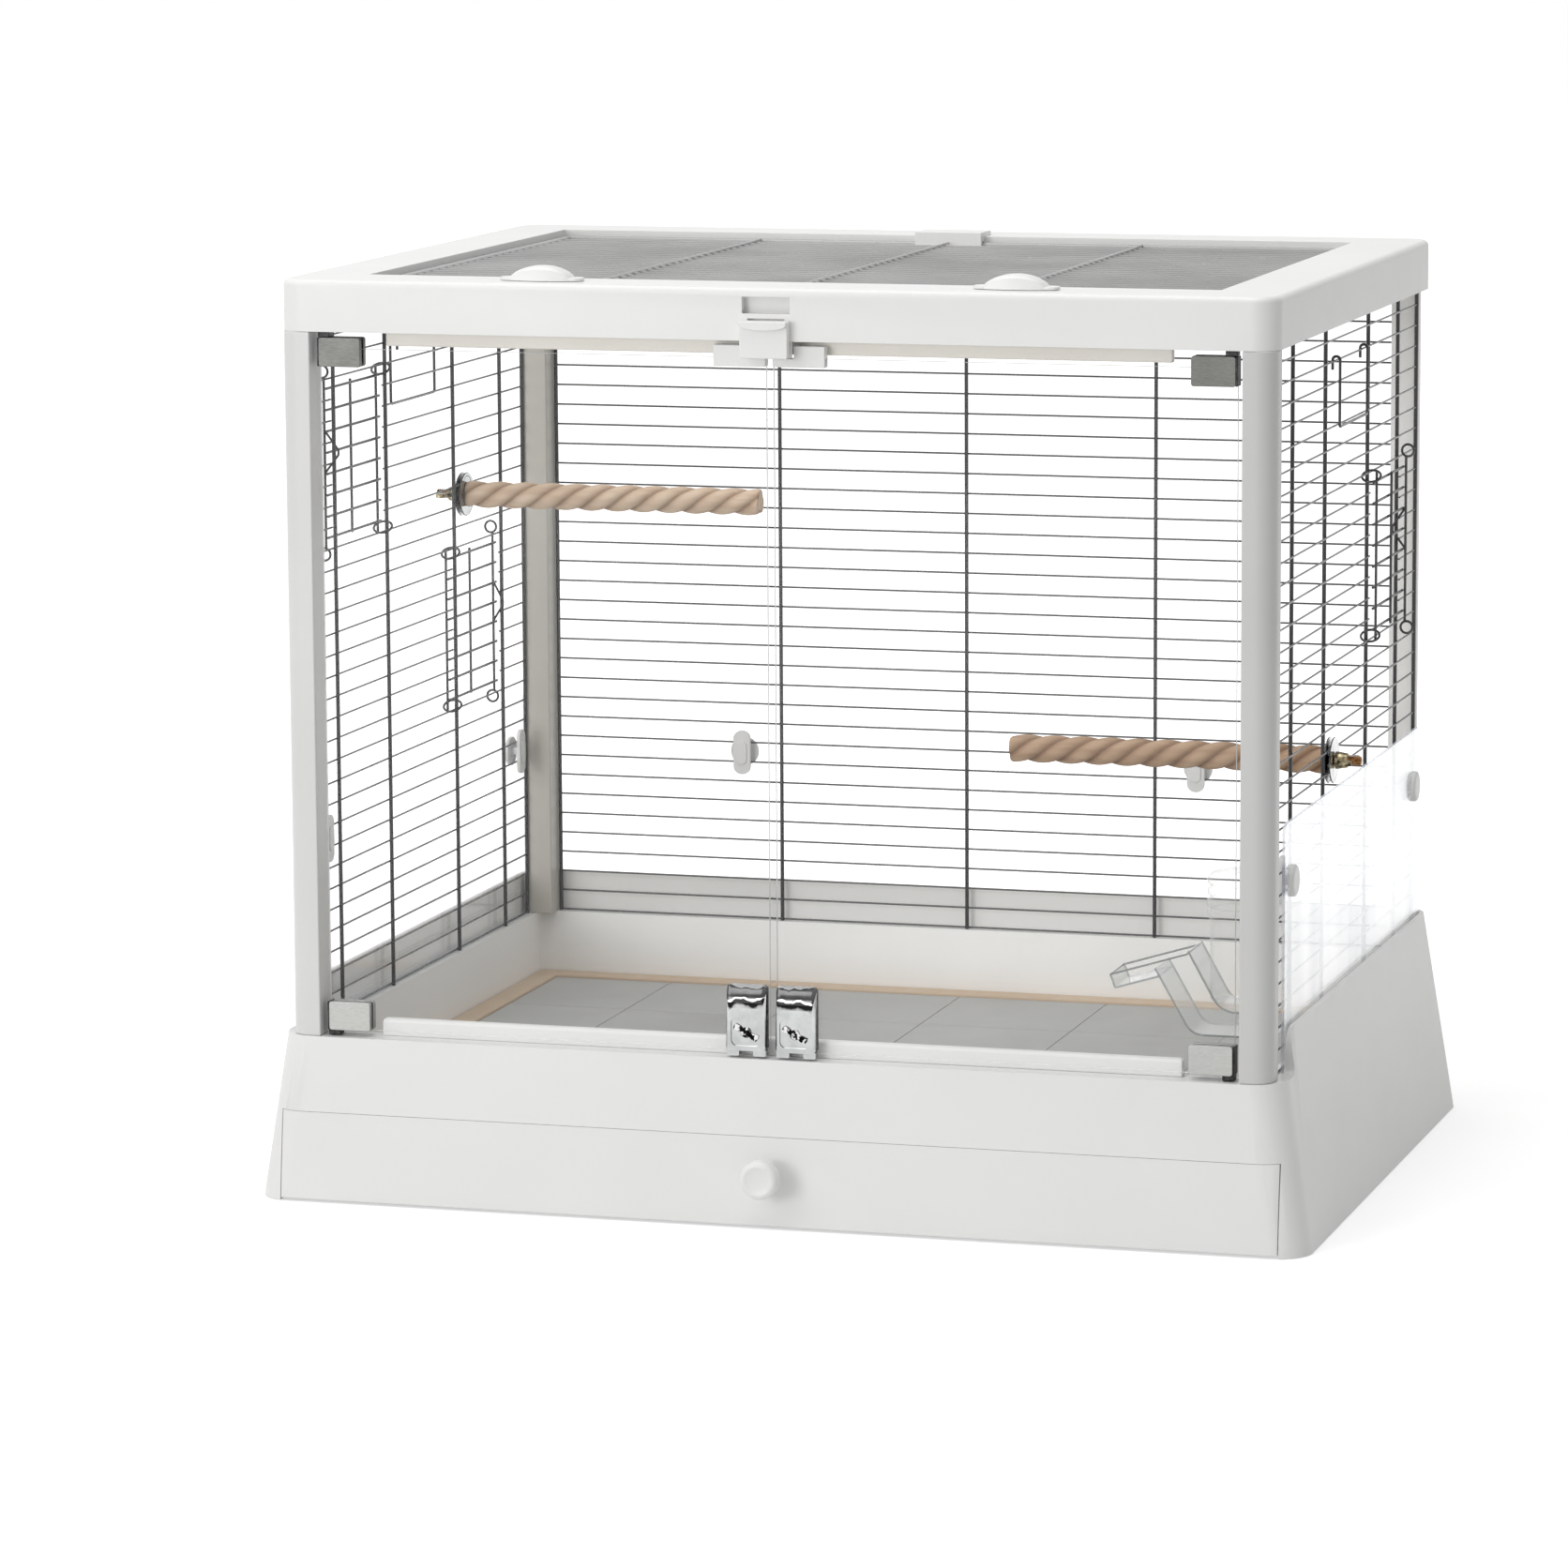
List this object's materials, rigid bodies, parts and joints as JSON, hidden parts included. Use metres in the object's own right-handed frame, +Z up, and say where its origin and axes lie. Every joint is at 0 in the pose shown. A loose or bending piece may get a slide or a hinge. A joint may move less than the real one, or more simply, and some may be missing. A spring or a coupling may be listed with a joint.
{
  "type": "bird cage",
  "caption": "Box-shaped bird cage: flared white base with a drawer, wire walls and roof, clear double doors in front, perches, side hatches and a waterer.",
  "frame": {"origin": "centre of the base's flat bottom", "axes": "+Z up, +X to the right seen from the front, the doors face -Y"},
  "size_m": [0.67, 0.512, 0.5843],
  "materials": {
    "white_plastic": "satin white",
    "cream_plastic": "satin",
    "beige_plastic": "matte",
    "grey_board": "matte, scored",
    "dark_wire": "powder coated",
    "clear_sheet": "clear acrylic",
    "clear_moulding": "clear moulded",
    "grey_steel": "satin",
    "bright_chrome": "polished",
    "perch_wood": "plain turned",
    "yellow_brass": "plain"
  },
  "bodies": {
    "cage": {"base_shell": "white_plastic", "floor_rim": "beige_plastic", "floor_panel": "grey_board", "post_front_right": "white_plastic", "post_front_left": "white_plastic", "post_rear_right": "white_plastic", "post_rear_left": "white_plastic", "front_sill": "white_plastic", "door_stop_strip": "cream_plastic", "top_frame": "white_plastic", "left_grille": "dark_wire", "right_grille": "dark_wire", "back_grille": "dark_wire", "hatch_loops": "dark_wire", "left_guard": "clear_sheet", "right_guard": "clear_sheet", "back_guard": "clear_sheet", "guard_clips": "white_plastic", "perch_left": "perch_wood", "perch_right": "perch_wood", "perch_washers": "bright_chrome", "perch_bolts": "yellow_brass", "waterer_trough": "clear_moulding", "waterer_bottle": "clear_moulding", "roof_hinge_clip": "white_plastic"},
    "right_door": {"right_door_panel": "clear_sheet", "right_hinge_clamps": "grey_steel", "right_door_clip": "white_plastic", "right_catch": "bright_chrome"},
    "left_door": {"left_door_panel": "clear_sheet", "left_hinge_clamps": "grey_steel", "left_door_clip": "white_plastic", "left_catch": "bright_chrome"},
    "latch": {"latch_slider": "white_plastic"},
    "drawer": {"drawer_front": "white_plastic", "drawer_tray": "white_plastic", "drawer_knob": "white_plastic"},
    "roof": {"roof_lid": "dark_wire"},
    "right_turn_latch": {"roof_latch_right": "white_plastic"},
    "left_turn_latch": {"roof_latch_left": "white_plastic"},
    "left_front_hatch": {"left_front_hatch": "dark_wire"},
    "left_rear_hatch": {"left_rear_hatch": "dark_wire"},
    "right_rear_hatch": {"right_rear_hatch": "dark_wire"},
    "left_hanger": {"left_hanger": "dark_wire"},
    "right_hanger": {"right_hanger": "dark_wire"},
    "left_wing_nut": {"wing_nut_left": "yellow_brass"},
    "right_wing_nut": {"wing_nut_right": "yellow_brass"}
  },
  "joints": [
    {"name": "right_door_swing", "type": "hinge", "parent": "cage", "child": "right_door", "pos_m": [0.2845, -0.229, 0.32], "axis": [0, 0, 1], "range_deg": [0, 100]},
    {"name": "left_door_swing", "type": "hinge", "parent": "cage", "child": "left_door", "pos_m": [-0.2845, -0.229, 0.32], "axis": [0, 0, -1], "range_deg": [0, 100]},
    {"name": "latch_slide", "type": "slide", "parent": "cage", "child": "latch", "axis": [0, 0, 1], "range_m": [-0.006, 0.007]},
    {"name": "drawer_slide", "type": "slide", "parent": "cage", "child": "drawer", "axis": [0, -1, 0], "range_m": [0, 0.36]},
    {"name": "roof_swing", "type": "hinge", "parent": "cage", "child": "roof", "pos_m": [0, 0.188, 0.56923], "axis": [-1, 0, 0], "range_deg": [0, 95]},
    {"name": "right_latch_turn", "type": "hinge", "parent": "cage", "child": "right_turn_latch", "pos_m": [0.149, -0.214, 0.575], "axis": [0, 0, 1], "range_deg": [0, 90]},
    {"name": "left_latch_turn", "type": "hinge", "parent": "cage", "child": "left_turn_latch", "pos_m": [-0.149, -0.214, 0.575], "axis": [0, 0, -1], "range_deg": [0, 90]},
    {"name": "left_front_hatch_swing", "type": "hinge", "parent": "cage", "child": "left_front_hatch", "pos_m": [-0.3119, -0.065, 0.4534], "axis": [0, 0, -1], "range_deg": [0, 90]},
    {"name": "left_rear_hatch_swing", "type": "hinge", "parent": "cage", "child": "left_rear_hatch", "pos_m": [-0.3119, 0.065, 0.3194], "axis": [0, 0, 1], "range_deg": [0, 90]},
    {"name": "right_rear_hatch_swing", "type": "hinge", "parent": "cage", "child": "right_rear_hatch", "pos_m": [0.3119, 0.065, 0.3864], "axis": [0, 0, -1], "range_deg": [0, 90]},
    {"name": "left_hanger_swing", "type": "hinge", "parent": "cage", "child": "left_hanger", "pos_m": [-0.3077, 0, 0.5204], "axis": [0, 1, 0], "range_deg": [0, 90]},
    {"name": "right_hanger_swing", "type": "hinge", "parent": "cage", "child": "right_hanger", "pos_m": [0.3077, 0, 0.5204], "axis": [0, -1, 0], "range_deg": [0, 90]},
    {"name": "left_wing_nut_turn", "type": "hinge", "parent": "cage", "child": "left_wing_nut", "pos_m": [-0.3104, 0.092, 0.4065], "axis": [-1, 0, 0], "continuous": true},
    {"name": "right_wing_nut_turn", "type": "hinge", "parent": "cage", "child": "right_wing_nut", "pos_m": [0.3104, -0.048, 0.2725], "axis": [1, 0, 0], "continuous": true}
  ]
}
